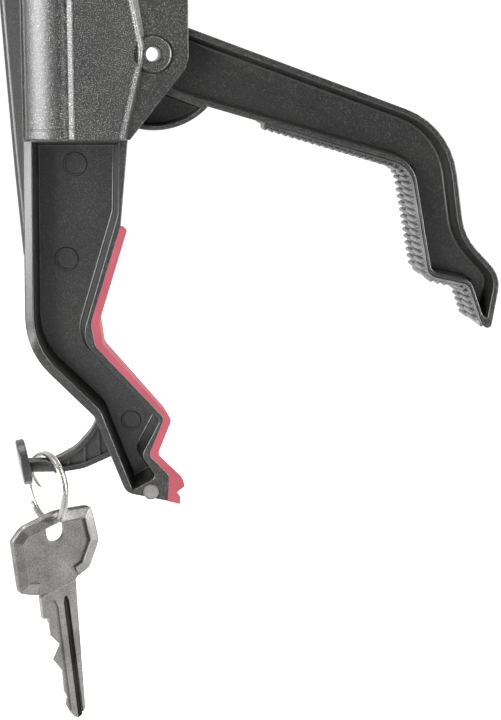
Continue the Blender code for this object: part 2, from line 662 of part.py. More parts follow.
def shaft_collar():
    """Ring nut that clamps the two shells about the tube."""
    chamfer = 1.5
    profile = [(11.9, COLLAR_LOW), (COLLAR_R - 0.8, COLLAR_LOW), (COLLAR_R, COLLAR_LOW + chamfer),
               (COLLAR_R, COLLAR_HIGH - chamfer), (COLLAR_R - 0.8, COLLAR_HIGH), (11.9, COLLAR_HIGH)]
    ring = lathe(profile, steps=36)
    return finish(ring, "shaft_collar", "black_plastic")


def hang_eyelet():
    """Lined eye through both shells."""
    y = GRIP_Y + GAP
    profile = [(EYE_R, -y - 0.8), (6.4, -y - 0.8), (6.4, -y), (EYE_R + 1.2, -y), (EYE_R + 1.2, y), (6.4, y),
               (6.4, y + 0.8), (EYE_R, y + 0.8)]
    return finish(lathe(profile, "Y", steps=24), "hang_eyelet", "bright_steel")


def handle_screws():
    for i, (x, z) in enumerate(HANDLE_SCREWS, 1):
        finish(screw(17.5, (x, SHELL_SEAT_Y + GAP, z)), f"handle_screw_{i}", "bright_steel")


TRIGGER = [(30, -7.5), (36, -9.0, 4), (48, -9.5, 14), (70, -3.5, 30), (88, -8.5, 12), (97, -22.0, 4),
           (102.5, -19.5, 3), (99.5, -4, 10), (84, 5.5, 18), (30, 8.0)]
TRIGGER_Y = 7.5
TRIGGER_FACE = [(40, -9.2), (48, -9.5, 14), (70, -3.5, 30), (88, -8.5, 12), (95, -19.0)]


def trigger(parent):
    """Finger lever, drawn about its pivot with its slot along the first axis."""
    web = [(-6.4, -6.2, 6), (33, -6.2), (33, 6.2), (-6.4, 6.2, 6)]
    piece = join(plate(rounded(web), -WEB_Y, WEB_Y), rod(5.2, -10.0, 10.0, "Y", steps=24))
    join(piece, soften(plate(rounded(TRIGGER), -TRIGGER_Y, TRIGGER_Y), 1.6, 2, 60))
    cut(piece, plate(band(TRIGGER_FACE, 2.0, -6.0), -TRIGGER_Y + 1.2, TRIGGER_Y - 1.2))
    inner, outer = -TRIGGER_X - 0.6, -TRIGGER_X / math.cos(TRIGGER_HALF) + 0.6
    cut(piece, plate(slot(inner, outer, PIN_R + 0.4, 0), -5, 5), rod(2.8, -12, 12, "Y", steps=20))
    piece.rotation_euler = (0, TRIGGER_HALF, 0)
    return finish(piece, "trigger", "black_plastic", parent)


def trigger_pad(parent):
    """Soft strip where the fingers pull."""
    piece = plate(band(TRIGGER_FACE, 1.7, -0.4), -TRIGGER_Y + 1.5, TRIGGER_Y - 1.5)
    piece.rotation_euler = (0, TRIGGER_HALF, 0)
    return finish(piece, "trigger_pad", "red_rubber", parent)


def trigger_pin(parent):
    return finish(rod(2.5, -11.9, 11.9, "Y", steps=20), "trigger_pin", "bright_steel", parent)


def build():
    for obj in list(bpy.data.objects):
        bpy.data.objects.remove(obj)
    pivot = empty("jaw_pivot", (PIVOT_X, 0, PIVOT_Z))
    lever = empty("trigger_pivot", (TRIGGER_X, 0, TRIGGER_Z))
    for make in (head_body, head_cover, fixed_jaw_pad, moving_jaw, moving_jaw_pad, jaw_pivot_pin, tip_magnet,
                 head_screws, tube_lock_screw, key_ring, key, rod_clevis):
        make(pivot)
    headed_pin("clevis_pin", (-LEVER, 0, -LIFT), pivot)
    shaft_tube()
    rod_guide("rod_guide_lower", PIVOT_Z + 48)
    rod_guide("rod_guide_upper", TUBE_TOP - 40)
    pull_rod()
    spring_collar()
    return_spring()
    top = empty("rod_top", (0, 0, TRIGGER_Z))
    rod_fork(top)
    headed_pin("fork_pin", (0, 0, -LIFT), top)
    for side in (-1, 1):
        handle_shell(side)
    for make in (grip_pad, shaft_collar, hang_eyelet, handle_screws):
        make()
    for make in (trigger, trigger_pad, trigger_pin):
        make(lever)


build()
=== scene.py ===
import math

import bmesh
import bpy
from mathutils import Euler, Matrix, Vector


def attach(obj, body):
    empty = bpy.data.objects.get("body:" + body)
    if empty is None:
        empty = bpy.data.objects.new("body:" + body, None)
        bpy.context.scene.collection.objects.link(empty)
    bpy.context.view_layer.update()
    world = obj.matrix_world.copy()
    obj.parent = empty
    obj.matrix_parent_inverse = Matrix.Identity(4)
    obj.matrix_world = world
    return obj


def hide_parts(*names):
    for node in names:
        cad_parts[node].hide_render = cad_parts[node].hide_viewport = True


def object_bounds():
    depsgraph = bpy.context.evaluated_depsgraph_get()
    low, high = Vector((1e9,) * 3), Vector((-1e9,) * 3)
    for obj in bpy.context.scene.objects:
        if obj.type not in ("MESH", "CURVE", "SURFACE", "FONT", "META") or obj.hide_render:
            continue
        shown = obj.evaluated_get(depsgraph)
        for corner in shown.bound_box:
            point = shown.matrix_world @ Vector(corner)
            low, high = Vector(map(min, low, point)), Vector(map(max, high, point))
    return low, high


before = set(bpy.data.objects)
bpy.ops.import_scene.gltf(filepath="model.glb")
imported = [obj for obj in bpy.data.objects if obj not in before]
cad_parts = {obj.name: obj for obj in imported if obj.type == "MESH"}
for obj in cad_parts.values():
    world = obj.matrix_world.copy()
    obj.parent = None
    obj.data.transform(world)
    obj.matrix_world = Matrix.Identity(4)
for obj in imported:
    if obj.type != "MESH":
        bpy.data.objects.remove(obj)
cad_box = [list(corner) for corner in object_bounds()]

MM = 0.001
PIVOT = Vector((27.0, 0.0, -472.0))     # jaw pivot; head shapes are drawn about it
RING_HINGE = Vector((-29.6, -4.0, -106.8))
KEY_HINGE = Vector((-29.6, -4.0, -124.85))
RING_R = 9.35
RING_TURN = math.radians(32)
KEY_TURN = math.radians(28)
KEY_LEAN = math.radians(6)
SMOOTH = math.radians(32)


# ---------------------------------------------------------------- outlines, in millimetres
def corner_arc(before, corner, after, radius, step=9.0):
    """Points of the arc that rounds a corner, at most step degrees apart."""
    ax, az = before[0] - corner[0], before[1] - corner[1]
    bx, bz = after[0] - corner[0], after[1] - corner[1]
    la, lb = math.hypot(ax, az), math.hypot(bx, bz)
    ax, az, bx, bz = ax / la, az / la, bx / lb, bz / lb
    half = math.acos(max(-1.0, min(1.0, ax * bx + az * bz))) / 2
    reach = radius / math.tan(half)
    mx, mz = ax + bx, az + bz
    size = math.hypot(mx, mz)
    depth = radius / math.sin(half)
    cx, cz = corner[0] + mx / size * depth, corner[1] + mz / size * depth
    start = math.atan2(corner[1] + az * reach - cz, corner[0] + ax * reach - cx)
    sweep = math.atan2(corner[1] + bz * reach - cz, corner[0] + bx * reach - cx) - start
    sweep = (sweep + math.pi) % (2 * math.pi) - math.pi
    steps = max(2, math.ceil(round(abs(math.degrees(sweep)) / step, 3)))
    return [(cx + radius * math.cos(start + sweep * i / steps),
             cz + radius * math.sin(start + sweep * i / steps)) for i in range(steps + 1)]


def rounded(corners, closed=True):
    """Outline from corners (x, z) or (x, z, radius)."""
    points = []
    count = len(corners)
    for i, corner in enumerate(corners):
        if len(corner) == 2 or (not closed and i in (0, count - 1)):
            points.append(tuple(corner[:2]))
        else:
            points += corner_arc(corners[i - 1], corner, corners[(i + 1) % count], corner[2])
    return points


def shifted(corners, distances, closed=True):
    """Corners moved to the left of the path, by one distance or one per edge."""
    count = len(corners)
    edges = count if closed else count - 1
    if isinstance(distances, (int, float)):
        distances = [distances] * edges
    lines = []
    for i in range(edges):
        (x0, z0), (x1, z1) = corners[i][:2], corners[(i + 1) % count][:2]
        size = math.hypot(x1 - x0, z1 - z0)
        ux, uz = (x1 - x0) / size, (z1 - z0) / size
        lines.append((x0 - uz * distances[i], z0 + ux * distances[i],
                      x1 - uz * distances[i], z1 + ux * distances[i], ux, uz))
    moved = []
    for i, corner in enumerate(corners):
        if not closed and i in (0, count - 1):
            line = lines[0] if i == 0 else lines[-1]
            moved.append((line[0], line[1]) if i == 0 else (line[2], line[3]))
            continue
        px, pz, _, _, ux, uz = lines[i - 1]
        qx, qz, _, _, vx, vz = lines[i % edges]
        turn = ux * vz - uz * vx
        along = ((qx - px) * vz - (qz - pz) * vx) / turn
        point = (px + ux * along, pz + uz * along)
        if len(corner) == 3:
            side = (distances[i - 1] + distances[i % edges]) / 2 * math.copysign(1, turn)
            point += (max(0.15, corner[2] - side),)
        moved.append(point)
    return moved


def inset(corners, distances):
    """Closed corners moved inward, whichever way the path runs."""
    area = sum(a[0] * b[1] - b[0] * a[1] for a, b in zip(corners, corners[1:] + corners[:1]))
    sign = 1 if area > 0 else -1
    if isinstance(distances, (int, float)):
        distances = [distances] * len(corners)
    return shifted(corners, [sign * d for d in distances])


def poly(corners):
    """Outline as a function of how far it is moved inward."""
    return lambda d=0.0: rounded(inset(corners, d))


def plain(points):
    """The same for an outline of plain points, which is drawn without rounding."""
    return lambda d=0.0: [p[:2] for p in inset(points, d)] if d else points


def disc(x, z, radius, count=48):
    def ring(d=0.0):
        r = radius - d
        return [(x + r * math.cos(2 * math.pi * i / count), z + r * math.sin(2 * math.pi * i / count))
                for i in range(count)]
    return ring


def arc(radius, start, end, steps):
    """Points of an arc about the origin, from start to end in degrees."""
    angles = [math.radians(start + (end - start) * i / steps) for i in range(steps + 1)]
    return [(radius * math.cos(a), radius * math.sin(a)) for a in angles]


def held(value):
    """A value held between 0 and 1."""
    return min(1.0, max(0.0, value))


def ease(value):
    """Smooth step of a value from 0 to 1."""
    t = held(value)
    return t * t * (3 - 2 * t)


# ---------------------------------------------------------------- meshes, in millimetres
def edge_round(size, steps=3):
    """Quarter round as (inset, depth) pairs, from the side to the face."""
    angles = [math.pi / 2 * i / steps for i in range(steps + 1)]
    return [(size * (1 - math.cos(a)), size * (1 - math.sin(a))) for a in angles]


def ring_of(bm, points, y):
    return [bm.verts.new((x, y, z)) for x, z in points]


def skin(bm, rings, closed=True):
    """Quads between successive rings of equal length."""
    for low, high in zip(rings, rings[1:]):
        count = len(low)
        for i in range(count if closed else count - 1):
            j = (i + 1) % count
            bm.faces.new((low[i], low[j], high[j], high[i]))


def tube(bm, rings):
    """Closed tube through rings of equal length, with flat ends."""
    skin(bm, rings)
    bm.faces.new(rings[0])
    bm.faces.new(rings[-1])


def fill(bm, loops):
    """Flat face bounded by the first loop, with the other loops as holes in it."""
    if len(loops) == 1:
        bm.faces.new(loops[0])
        return
    edges = []
    for loop in loops:
        edges += [bm.edges.get((a, b)) for a, b in zip(loop, loop[1:] + loop[:1])]
    bmesh.ops.triangle_fill(bm, edges=edges, use_beauty=True)


def slab(bm, outline, y0, y1, bevel=0.35, front=(), rear=(), holes=(), back=None):
    """Moulding between two faces, with rounded edges, pockets (outline, floor, draft, fillet) and holes."""
    rounds = edge_round(bevel)
    rings = [ring_of(bm, outline(i), y0 + d) for i, d in reversed(rounds)]
    rings += [ring_of(bm, (back or outline)(i), y1 - d) for i, d in rounds]
    skin(bm, rings)
    faces = {y0: [rings[0]], y1: [rings[-1]]}
    for hole in holes:
        rings = [ring_of(bm, hole(-i), y0 + d) for i, d in reversed(rounds)]
        rings += [ring_of(bm, hole(-i), y1 - d) for i, d in rounds]
        skin(bm, rings)
        faces[y0].append(rings[0])
        faces[y1].append(rings[-1])
    floors = []
    for face, inward, pockets in ((y0, 1, front), (y1, -1, rear)):
        for pocket, floor, draft, fillet in pockets:
            depth = abs(floor - face)
            rings = [ring_of(bm, pocket(-i), face + inward * d) for i, d in reversed(rounds)]
            rings += [ring_of(bm, pocket(draft + i), face + inward * (depth - d))
                      for i, d in edge_round(fillet)]
            skin(bm, rings)
            faces[face].append(rings[0])
            floors.append([rings[-1]])
    for loops in list(faces.values()) + floors:
        fill(bm, loops)


def lathe(bm, profile, axis="Y", centre=(0, 0, 0), steps=48):
    """Closed profile of (radius, height) turned about an axis; ends at radius 0 become caps."""
    capped = profile[0][0] == 0
    rings = []
    for radius, height in profile[1:-1] if capped else profile:
        ring = []
        for i in range(steps):
            a = 2 * math.pi * i / steps
            u, v = radius * math.cos(a), radius * math.sin(a)
            x, y, z = {"X": (height, u, v), "Y": (v, height, u), "Z": (u, v, height)}[axis]
            ring.append(bm.verts.new((centre[0] + x, centre[1] + y, centre[2] + z)))
        rings.append(ring)
    if capped:
        bm.faces.new(rings[0])
        bm.faces.new(rings[-1])
        skin(bm, rings)
    else:
        skin(bm, rings + rings[:1])


def sweep(bm, frames, section):
    """Closed tube through frames (point, normal, binormal, scale) with a section of (u, v) points."""
    tube(bm, [[bm.verts.new(p + n * (u * s) + b * (v * s)) for u, v in section] for p, n, b, s in frames])


def mesh_of(bm):
    """Mesh with its faces turned outward; the bmesh is used up."""
    bmesh.ops.recalc_face_normals(bm, faces=bm.faces)
    mesh = bpy.data.meshes.new("piece")
    bm.to_mesh(mesh)
    bm.free()
    return mesh


def carved(bm, cutter):
    """The first closed mesh less the second, as a bmesh."""
    pair = []
    for part in (bm, cutter):
        pair.append(bpy.data.objects.new("work", mesh_of(part)))
        bpy.context.scene.collection.objects.link(pair[-1])
    modifier = pair[0].modifiers.new("cut", "BOOLEAN")
    modifier.operation = "DIFFERENCE"
    modifier.solver = "EXACT"
    modifier.object = pair[1]
    bpy.context.view_layer.update()
    mesh = bpy.data.meshes.new_from_object(pair[0].evaluated_get(bpy.context.evaluated_depsgraph_get()))
    for obj in pair:
        bpy.data.objects.remove(obj)
    out = bmesh.new()
    out.from_mesh(mesh)
    return out


def merged(*parts):
    """Several closed meshes in one bmesh."""
    out = bmesh.new()
    for part in parts:
        out.from_mesh(mesh_of(part))
    return out


def piece(bm, name, body, material, stands_for=(), matrix=None, smooth=SMOOTH):
    """Finished object in metres, riding on its body."""
    mesh = mesh_of(bm)
    mesh.transform(Matrix.Scale(MM, 4) @ Matrix.Translation(PIVOT) @ (matrix or Matrix.Identity(4)))
    mesh.name = name
    obj = bpy.data.objects.new(name, mesh)
    bpy.context.scene.collection.objects.link(obj)
    mesh.materials.append(material)
    mesh.shade_smooth()
    mesh.set_sharp_from_angle(angle=smooth)
    weighted = obj.modifiers.new("normals", "WEIGHTED_NORMAL")
    weighted.keep_sharp = True
    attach(obj, body)
    if stands_for:
        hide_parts(*stands_for)


# ---------------------------------------------------------------- materials
class Finish:
    """Node material on a principled shader, with object coordinates in metres."""

    def __init__(self, name, colour, roughness, metallic=0.0, specular=0.5):
        self.material = bpy.data.materials.new(name)
        self.material.use_nodes = True
        self.tree = self.material.node_tree
        self.shader = self.tree.nodes["Principled BSDF"]
        self.shader.inputs["Base Color"].default_value = (*colour, 1)
        self.shader.inputs["Roughness"].default_value = roughness
        self.shader.inputs["Metallic"].default_value = metallic
        self.shader.inputs["Specular IOR Level"].default_value = specular
        self.coords = self.tree.nodes.new("ShaderNodeTexCoord")
        self.height = None

    def link(self, source, target):
        self.tree.links.new(source, target)

    def place(self, scale=(1, 1, 1)):
        mapping = self.tree.nodes.new("ShaderNodeMapping")
        mapping.inputs["Scale"].default_value = scale
        self.link(self.coords.outputs["Object"], mapping.inputs["Vector"])
        return mapping.outputs["Vector"]

    def noise(self, scale, detail=2.0, rough=0.5, stretch=(1, 1, 1)):
        """Noise from about 0 to 1, in features of one over scale metres."""
        node = self.tree.nodes.new("ShaderNodeTexNoise")
        node.inputs["Scale"].default_value = scale
        node.inputs["Detail"].default_value = detail
        node.inputs["Roughness"].default_value = rough
        self.link(self.place(stretch), node.inputs["Vector"])
        return node.outputs["Fac"]

    def ramp(self, source, stops):
        node = self.tree.nodes.new("ShaderNodeValToRGB")
        ramp = node.color_ramp
        while len(ramp.elements) < len(stops):
            ramp.elements.new(0.5)
        for element, (place, colour) in zip(ramp.elements, stops):
            element.position = place
            element.color = (*colour, 1)
        self.link(source, node.inputs["Fac"])
        return node.outputs["Color"]

    def blend(self, factor, first, second):
        node = self.tree.nodes.new("ShaderNodeMix")
        node.data_type = "RGBA"
        self.link(factor, node.inputs["Factor"])
        self.link(first, node.inputs["A"])
        self.link(second, node.inputs["B"])
        return node.outputs["Result"]

    def along(self, axis, start, end, least=0.0, mirrored=False):
        """Rises from least at start to one at end, along an axis or away from its zero."""
        axes = self.tree.nodes.new("ShaderNodeSeparateXYZ")
        self.link(self.coords.outputs["Object"], axes.inputs["Vector"])
        place = axes.outputs[axis]
        if mirrored:
            size = self.tree.nodes.new("ShaderNodeMath")
            size.operation = "ABSOLUTE"
            self.link(place, size.inputs[0])
            place = size.outputs["Value"]
        node = self.tree.nodes.new("ShaderNodeMapRange")
        node.inputs["From Min"].default_value = start
        node.inputs["From Max"].default_value = end
        node.inputs["To Min"].default_value = least
        self.link(place, node.inputs["Value"])
        return node.outputs["Result"]

    def times(self, first, second):
        node = self.tree.nodes.new("ShaderNodeMath")
        node.operation = "MULTIPLY"
        self.link(first, node.inputs[0])
        self.link(second, node.inputs[1])
        return node.outputs["Value"]

    def colour(self, source):
        self.link(source, self.shader.inputs["Base Color"])

    def rough(self, source, low, high):
        node = self.tree.nodes.new("ShaderNodeMapRange")
        node.inputs["To Min"].default_value = low
        node.inputs["To Max"].default_value = high
        self.link(source, node.inputs["Value"])
        self.link(node.outputs["Result"], self.shader.inputs["Roughness"])

    def bump(self, source, distance, strength=1.0):
        node = self.tree.nodes.new("ShaderNodeBump")
        node.inputs["Distance"].default_value = distance
        node.inputs["Strength"].default_value = strength
        self.link(source, node.inputs["Height"])
        if self.height:
            self.link(self.height, node.inputs["Normal"])
        self.height = node.outputs["Normal"]
        self.link(self.height, self.shader.inputs["Normal"])


def grey(value):
    return value, value, value


def moulded_plastic():
    """Spark-eroded black plastic: fine even grain and soft wear, with light specks painted into the colour as
    glints (painted highlight), dimmed on sunk faces as painted shade.
    """
    f = Finish("plastic_black", grey(0.010), 0.32, specular=1.0)
    grain = f.noise(3400, 2.0, 0.6)
    patch = f.noise(45, 3.0, 0.55)
    dark = f.ramp(patch, [(0.3, (0.005, 0.0052, 0.005)), (0.7, (0.010, 0.0105, 0.009))])
    # painted highlight: colour of the light specks that stand in for glints
    light = f.ramp(patch, [(0.3, (0.20, 0.20, 0.20)), (0.7, (0.38, 0.38, 0.37))])
    painted_glints = f.ramp(f.noise(4300, 0.0, 0.5), [(0.57, (0, 0, 0)), (0.74, (1, 1, 1))])
    raised = f.along("Y", 0.0144, 0.0164, 0.22, True)      # painted shade: the painted glints are full only on the cover's raised front and dimmed on every face sunk below it
    f.colour(f.blend(f.times(painted_glints, raised), dark, light))
    f.rough(patch, 0.29, 0.36)
    f.bump(grain, 0.00012, 0.3)
    return f.material


def soft_red():
    """Matte red rubber, a little blotched."""
    f = Finish("rubber_red", (0.44, 0.065, 0.085), 0.62, specular=0.25)
    patch = f.noise(70, 3.0, 0.6)
    f.colour(f.ramp(patch, [(0.3, (0.30, 0.062, 0.082)), (0.7, (0.37, 0.082, 0.105))]))
    f.rough(patch, 0.55, 0.70)
    f.bump(f.noise(1500, 2.0, 0.5), 0.00006, 0.5)
    return f.material


def toothed_rubber():
    """Black rubber, lighter grey on the teeth past the jaw's bend, towards its tip."""
    f = Finish("rubber_black", grey(0.04), 0.38, specular=0.6)
    patch = f.noise(300, 3.0, 0.6)
    dark = f.ramp(patch, [(0.3, (0.03, 0.03, 0.032)), (0.7, (0.06, 0.06, 0.063))])
    lighter_tip = f.ramp(patch, [(0.3, (0.11, 0.11, 0.115)), (0.7, (0.20, 0.20, 0.205))])
    f.colour(f.blend(f.along("X", 0.089, 0.095), dark, lighter_tip))
    f.rough(patch, 0.30, 0.48)
    f.bump(f.noise(1800, 2.0, 0.5), 0.00005, 0.5)
    return f.material


def worn_metal(name, low, high, rough_low, rough_high, scale=900, depth=0.00003, contrast=0.75,
               scratches=True):
    """Metal with tonal patches, fine brushing and small scratches."""
    f = Finish(name, high, rough_low, metallic=1.0)
    patch = f.noise(120, 4.0, 0.6)
    streak = f.noise(scale, 3.0, 0.6)
    tones = f.ramp(patch, [(0.3, low), (0.75, high)])
    dim_low, dim_high = (tuple(contrast * v for v in colour) for colour in (low, high))
    dark = f.ramp(patch, [(0.3, dim_low), (0.75, dim_high)])
    f.colour(f.blend(f.ramp(streak, [(0.35, (0, 0, 0)), (0.65, (1, 1, 1))]), dark, tones))
    f.rough(streak, rough_low, rough_high)
    f.bump(streak, depth, 0.5)
    if scratches:
        lines = f.ramp(f.noise(650, 1.0, 0.5, (1, 1, 0.12)), [(0.70, (1, 1, 1)), (0.74, (0, 0, 0))])
        f.bump(lines, 0.00004, 0.25)
    return f.material


BLACK = moulded_plastic()
RED = soft_red()
TEETH = toothed_rubber()
NICKEL = worn_metal("nickel_worn", (0.25, 0.243, 0.236), (0.44, 0.43, 0.42), 0.26, 0.38, scale=2600,
                    contrast=0.6)
PANEL = worn_metal("nickel_matt", (0.19, 0.184, 0.178), (0.33, 0.322, 0.313), 0.34, 0.50, scale=2600,
                   contrast=0.55)
# painted shade: dark metal for the sheet laid in the key's milled slot
SLOT_SHADE = worn_metal("nickel_slot_shade", (0.015, 0.013, 0.011), (0.05, 0.045, 0.04), 0.40, 0.55, scale=1800)
WIRE = worn_metal("nickel_bright", (0.55, 0.535, 0.52), (0.72, 0.70, 0.68), 0.22, 0.32, depth=0.0000005,
                  contrast=0.93, scratches=False)
MAGNET = worn_metal("steel_magnet", (0.34, 0.33, 0.32), (0.52, 0.505, 0.49), 0.34, 0.50, scale=3000)

# ---------------------------------------------------------------- head outlines, about the jaw pivot
JAW = [(-33.6, -19.0), (-34.3, -76.4, 21), (-16.6, -94.4, 3), (-8.4, -115.4, 3.5), (2.8, -117.9),
       (3.2, -110.7, 1), (-2.1, -105.1, 1.5), (2.0, -95.1, 1.5), (-15.9, -75.4, 4), (-16.9, -69.2, 6),
       (-8.9, -44.1, 3), (-6.5, -19.0)]
JAW_WALLS = [2.4, 2.4, 2.2, 3.6, 4.0, 1.9, 1.7, 1.9, 1.9, 1.9, 1.9, 2.9]
# how far the grip side's top, elbow, knee, notch and tip lean inward from front to rear
GRIP_LEAN = [(-0.8, -2.5), (0.2, -2.6), (-0.9, -2.2), (-1.5, -3.7), (-1.3, -3.9)]
CHEEK = [(-33.5, -21.6), (-6.2, -21.6), (8.0, -3.8, 2.5), (8.9, -1.0, 2), (8.9, 16, 8), (-10.5, 44, 12),
         (-12.5, 62), (-33.5, 62)]
HUMP = [(-33.5, -21.6), (-8.6, -21.6), (-2.7, 0.5, 4), (-12.4, 46, 8), (-14, 60), (-33.5, 60)]
ARM = [(-4.0, 11.45, 7), (77.5, -18.4, 21), (81.7, -47.4, 15), (91.8, -58.1, 8), (89.3, -73.0, 1.2),
       (87.3, -71.4, 1), (83.2, -60.1, 3), (72.5, -57.7, 3), (67.2, -28.8, 8), (10.5, -12.3, 2),
       (-4.0, -7.0, 3)]
ARM_WALLS = [1.5, 1.5, 1.5, 1.6, 2.2, 0.8, 1.2, 0.8, 1.5, 1.5, 2.2]
HALF = 12.0                             # half depth of both jaws
SHELL_IN, SHELL_OUT = 12.3, 14.8        # inner and outer face of the head's flat shells, front and rear
TUBE_X = -27.0                          # axis of the tube and its sleeve
CLOSING = 46                            # the moving jaw's travel, in degrees
BORE_R = 3.5                            # bores round the rivet
SCREW_WELL_R = 3.2
HEAD_SCREWS = ((-11.6, 29.0), (-15.6, 53.0))
PEG = Vector((-30.0, -4.0, -109.1))     # where the hook's peg carries the ring


def leaned(corners, moves):
    """Corners moved each by its own amount; None or a missing move leaves a corner where it is."""
    moves = list(moves) + [None] * (len(corners) - len(moves))
    return [(c[0] + m[0], c[1] + m[1], *c[2:]) if m else c for c, m in zip(corners, moves)]


def bend(before, corner, after, count=8):
    """Round at a corner with a set number of points, so that two outlines can be joined."""
    if len(corner) == 2:
        return [corner]
    points = corner_arc(before, corner, after, corner[2], 1.0)
    return [points[round(i * (len(points) - 1) / (count - 1))] for i in range(count)]


def track(corners):
    """Open path whose corners all have the same number of points."""
    points = [corners[0][:2]]
    for before, corner, after in zip(corners, corners[1:], corners[2:]):
        points += bend(before, corner, after)
    return points + [corners[-1][:2]]


def loop(corners):
    """Closed outline as a function of how far it is moved inward, with the same points at every corner."""
    def ring(d=0.0):
        moved = inset(corners, d)
        points = []
        for i, corner in enumerate(moved):
            points += bend(moved[i - 1], corner, moved[(i + 1) % len(moved)])
        return points
    return ring


def screw_wells():
    return [disc(x, z, SCREW_WELL_R, 32) for x, z in HEAD_SCREWS]


JAW_FLOOR = -2.0                        # floor of the fixed jaw's front channel
FLANGE_EDGE = -32.6                     # where the outer wall's front face starts to slope back
FLANGE_SLOPE = 0.8                      # how far it slopes, over the same width


def jaw_pocket():
    """Rim of the fixed jaw's front channel; its foot leans round the magnet."""
    left = inset(JAW, JAW_WALLS)[1:3]
    tip = [(-6.7, -114.6, 0.6), (-0.4, -111.2, 1.3), (-4.3, -105.2, 2.2)]
    right = [(0.6, -95.9, 1.5), (-19.75, -73.9, 7.5), (-9.75, -41.0, 3), (-9.2, -22.3)]
    return [(-31.2, -22.3)] + left + tip + right


def ejector(bm, x, z, radius, y):
    """Faint witness ring that an ejector pin leaves on a channel floor."""
    lathe(bm, [(radius - 0.45, y + 0.2), (radius - 0.3, y - 0.35), (radius + 0.1, y - 0.35),
               (radius + 0.45, y + 0.2)], "Y", (x, 0, z), 40)


def fixed_jaw():
    """Fixed jaw, channelled on both sides, with draft on its grip side."""
    bm = bmesh.new()
    _, elbow, knee, notch, tip = GRIP_LEAN
    narrow = leaned(JAW, [None] * 4 + [tip, tip, notch, knee, elbow])
    slab(bm, loop(JAW), -HALF, HALF, 0.35, front=[(poly(jaw_pocket()), JAW_FLOOR, 1.0, 0.5)],
         rear=[(poly(inset(narrow, JAW_WALLS)), 1.0, 0.3, 0.5)], back=loop(narrow))
    for vert in bm.verts:
        if vert.co.y < -HALF + 1:
            vert.co.y += FLANGE_SLOPE * held((FLANGE_EDGE - vert.co.x) / FLANGE_SLOPE)
    for x, z, radius in ((-20.6, -28.4, 2.9), (-23.3, -53.5, 2.9), (-6.8, -97.6, 2.4)):
        ejector(bm, x, z, radius, JAW_FLOOR)
    return bm


SLEEVE_CUT = -31.6                      # below the core, the sleeve is only there left of this
SLEEVE_HALF = 8.6                       # half its depth there
SLEEVE_CORNER = 1.5


def segment(radius):
    """Section of the cut sleeve: flat front and back with round outer corners, as (x, y) pairs."""
    left = TUBE_X - radius + SLEEVE_CORNER
    near = SLEEVE_CORNER - SLEEVE_HALF
    angles = [math.radians(a) for a in range(0, 91, 10)]
    front = [(left - SLEEVE_CORNER * math.sin(a), near - SLEEVE_CORNER * math.cos(a)) for a in angles]
    half = SLEEVE_HALF + 0.3
    return [(SLEEVE_CUT, -half)] + front + [(x, -y) for x, y in front[::-1]] + [(SLEEVE_CUT, half)]


def barrel():
    """Conical sleeve that takes the tube; below the core only its outer side is left."""
    bm = bmesh.new()
    rings = []
    for z, radius in ((-52.0, 6.9), (-51.6, 7.4), (-30.0, 9.1), (0.0, 11.1), (14.0, 11.95), (24.0, 12.0)):
        rings.append([bm.verts.new((x, y, z)) for x, y in segment(radius)])
    tube(bm, rings)
    lathe(bm, [(0, 20.5), (11.4, 20.5), (11.8, 60.9), (12.4, 61.6), (12.8, 62.4), (12.8, 74.6), (12.5, 75.1),
               (12.0, 75.3), (8.6, 75.3), (8.3, 75.0), (8.3, 70.0), (0, 70.0)], "Z", (TUBE_X, 0, 0), 64)
    return bm


def core():
    """Solid part of the head above the bay, and the bay's outer wall."""
    bm = bmesh.new()
    outline = [(-33.5, 20.3), (-6.0, 20.3), (-3.5, 11.0), (8.9, 11.0)] + CHEEK[4:]
    wall = [(-33.5, -22.0), (-31.5, -22.0), (-31.5, 21.0), (-33.5, 21.0)]
    slab(bm, poly(outline), -HALF, SHELL_IN, 0.3, rear=[(well, -2.0, 0, 0.2) for well in screw_wells()])
    slab(bm, poly(wall), -HALF, SHELL_IN, 0.2)
    return bm


def rear_cheek():
    """Flat rear shell with a raised field, open round the rivet and over the screws."""
    bm = bmesh.new()
    slab(bm, poly(CHEEK), SHELL_IN, SHELL_OUT, 0.4, holes=[disc(0, 0, BORE_R)] + screw_wells())
    hump = bmesh.new()
    slab(hump, poly(HUMP), 14.0, 17.0, 0.9, holes=screw_wells())
    cutter = bmesh.new()
    lathe(cutter, [(0, 13.0), (5.3, 13.0), (5.3, 20.0), (0, 20.0)], "Y", (0, 0, 0), 64)
    return merged(bm, carved(hump, cutter))


def hook():
    """Ribbed arm, peg and tilted disc."""
    x, y, z = PEG
    top = [(-15.2, -94.4), (-17.6, -99.4, 8), (-22.0, -104.3, 9), (-27.6, -107.2)]
    low = [(-27.6, -111.1), (-19.6, -109.9, 10), (-11.2, -106.2)]
    ribs = (((-23.6, -105.0), (-23.9, -110.2)), ((-19.2, -101.6), (-19.4, -109.2)),
            ((-15.7, -97.5), (-15.3, -107.9)))
    band_width, rib_half = 1.55, 0.3
    bm = bmesh.new()
    slab(bm, poly(top + low), y - 0.6, y + 0.9, 0.15)
    for path, side in ((top, 1), (low[::-1], -1)):
        band = rounded(path, False) + rounded(shifted(path, side * band_width, False), False)[::-1]
        slab(bm, plain(band), y - 2.0, y + 2.0, 0.22)
    for (x0, z0), (x1, z1) in ribs:
        rib = [(x0 - rib_half, z0), (x0 + rib_half, z0), (x1 + rib_half, z1), (x1 - rib_half, z1)]
        slab(bm, poly(rib), y - 1.5, y + 1.6, 0.1)
    lathe(bm, [(0, -34.5), (2.0, -34.5), (2.0, -26.6), (1.7, -25.6), (0, -25.6)], "X", (0, y, z), 32)
    plate = bmesh.new()
    lathe(plate, [(0, -1.2), (5.7, -1.2), (6.05, -1.1), (6.2, -0.85), (6.2, 0.8), (6.1, 1.05), (5.8, 1.2),
                  (0, 1.2)], "X", (0, 0, 0), 64)
    turn = Euler((0, math.radians(-10), math.radians(8))).to_matrix().to_4x4()
    plate.transform(Matrix.Translation((x - 5.8, y, z + 0.9)) @ turn)
    return merged(bm, plate)


